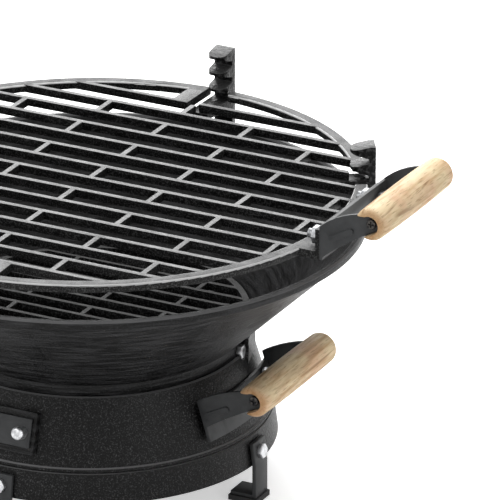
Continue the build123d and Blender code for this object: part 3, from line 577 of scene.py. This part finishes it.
# Bent sheet pieces, with the small round that the press leaves
for side in ("right", "left"):
    softened(f"{side}_grate_bracket", "cooking_grate", sheet_paint, sheet_round)
    softened(f"{side}_base_bracket", "base", sheet_paint, sheet_round)
for foot in ("right_foot", "left_foot", "rear_foot", "front_foot"):
    softened(foot, "base", sheet_paint, sheet_round)
softened("air_shutter", "air_shutter", sheet_paint, sheet_round)

# Wooden grips, sanded at the edges
grips = (
    ("right_grate_grip", "cooking_grate"),
    ("left_grate_grip", "cooking_grate"),
    ("right_base_grip", "base"),
    ("left_base_grip", "base"),
)
for seed, (grip, body) in enumerate(grips, start=1):
    softened(grip, body, bare_beech(f"bare_beech_{grip}", seed), wood_round)

# Hardware, with the rounded corners of forged heads
for node, body in {
    "rack_bolts": "base",
    "bowl_screws": "base",
    "foot_screws": "base",
    "base_bracket_bolts": "base",
    "base_bracket_nuts": "base",
    "shutter_knob": "air_shutter",
}.items():
    softened(node, body, zinc, hardware_round)
# The grate's bolts and nuts get the darker copy of the zinc, painted shade
for node in ("grate_bracket_bolts", "grate_bracket_nuts"):
    softened(node, "cooking_grate", darker_zinc_copy, hardware_round)
for node, body in {"grate_grip_screws": "cooking_grate", "base_grip_screws": "base"}.items():
    screws = softened(node, body, black_steel, hardware_round)
    cut_recesses(screws, node)


def seen_directly(tree):
    """One where the camera or a reflection looks at the surface, and nought where it only lights."""
    rays = add_node(tree, "ShaderNodeLightPath")
    camera_or_gloss = add_node(tree, "ShaderNodeMath", {
        0: rays.outputs["Is Camera Ray"], 1: rays.outputs["Is Glossy Ray"],
    }, operation="ADD")
    return add_node(tree, "ShaderNodeMath", {
        0: camera_or_gloss.outputs[0], 1: rays.outputs["Is Transmission Ray"],
    }, operation="ADD", use_clamp=True).outputs[0]


# Matt white paper, rolled out: white to the camera in full light, with the grill's soft shadow
def white_paper():
    material = bpy.data.materials.new("pale_floor")
    material.use_nodes = True
    tree = material.node_tree
    tree.nodes.clear()
    paper = add_node(tree, "ShaderNodeBsdfDiffuse", {"Color": linear("#f4f4f4")})
    lift = add_node(tree, "ShaderNodeMath", {
        0: seen_directly(tree), 1: floor_glow,
    }, operation="MULTIPLY")
    glow = add_node(tree, "ShaderNodeEmission", {
        "Color": linear("#ffffff"), "Strength": lift.outputs[0],
    })
    both = add_node(tree, "ShaderNodeAddShader", {0: paper.outputs[0], 1: glow.outputs[0]})
    add_node(tree, "ShaderNodeOutputMaterial", {"Surface": both.outputs[0]})
    return material


def direction(azimuth, elevation):
    """The way from the grill to a lamp or the camera, from its angles in degrees."""
    turned = radians(azimuth)
    raised = radians(elevation)
    return Vector((sin(turned) * cos(raised), -cos(turned) * cos(raised), sin(raised)))


def soft_lamp(name, azimuth, elevation, distance, size, power):
    """A square soft box that looks at the grill."""
    data = bpy.data.lights.new(name, "AREA")
    data.shape = "SQUARE"
    data.size = size
    data.energy = power
    lamp = bpy.data.objects.new(name, data)
    bpy.context.scene.collection.objects.link(lamp)
    away = direction(azimuth, elevation)
    lamp.location = Vector((0, 0, lamp_aim_height)) + away * distance
    lamp.rotation_euler = away.to_track_quat("Z", "Y").to_euler()


# Floor and lamps
deselect_all()
bpy.ops.mesh.primitive_plane_add(size=floor_size, location=(0, 0, -floor_drop))
floor = bpy.context.object
floor.name = "floor"
paint(floor, white_paper())
soft_lamp("overhead", azimuth=200.0, elevation=62.0, distance=1.6, size=1.2, power=26.0)
soft_lamp("back_sheen", azimuth=205.0, elevation=24.0, distance=1.8, size=1.0, power=14.0)
soft_lamp("front_fill", azimuth=-40.0, elevation=38.0, distance=2.0, size=1.2, power=12.0)
soft_lamp("right_fill", azimuth=68.0, elevation=20.0, distance=2.0, size=0.4, power=4.0)

# White sky for the camera and for gloss, dimmer as a light
world = bpy.data.worlds.new("studio")
bpy.context.scene.world = world
world.use_nodes = True
sky = world.node_tree
sky.nodes.clear()
sky_level = add_node(sky, "ShaderNodeMapRange", {"Value": seen_directly(sky), "To Min": sky_light})
sky_colour = add_node(sky, "ShaderNodeBackground", {
    "Color": linear("#ffffff"), "Strength": sky_level.outputs["Result"],
})
add_node(sky, "ShaderNodeOutputWorld", {"Surface": sky_colour.outputs[0]})

# Camera, turned so that the aim point falls on its own pixel
roll = radians(camera_roll)
away = direction(camera_azimuth, camera_elevation)
level_right = Vector((cos(radians(camera_azimuth)), sin(radians(camera_azimuth)), 0.0))
level_up = away.cross(level_right)
right = level_right * cos(roll) + level_up * sin(roll)
up = -level_right * sin(roll) + level_up * cos(roll)
middle = picture_pixels / 2
look = (
    -away + right * ((middle - aim_pixel[0]) / focal_pixels)
    - up * ((middle - aim_pixel[1]) / focal_pixels)
).normalized()
camera_back = -look
camera_right = up.cross(camera_back).normalized()
camera_up = camera_back.cross(camera_right)
camera_data = bpy.data.cameras.new("camera")
camera_data.sensor_width = sensor_width
camera_data.lens = focal_pixels / picture_pixels * sensor_width
camera_data.clip_end = camera_reach
camera = bpy.data.objects.new("camera", camera_data)
bpy.context.scene.collection.objects.link(camera)
turn = Matrix((camera_right, camera_up, camera_back)).transposed().to_4x4()
camera.matrix_world = Matrix.Translation(aim_point + away * camera_distance) @ turn
bpy.context.scene.camera = camera
bpy.context.scene.view_settings.view_transform = "Standard"
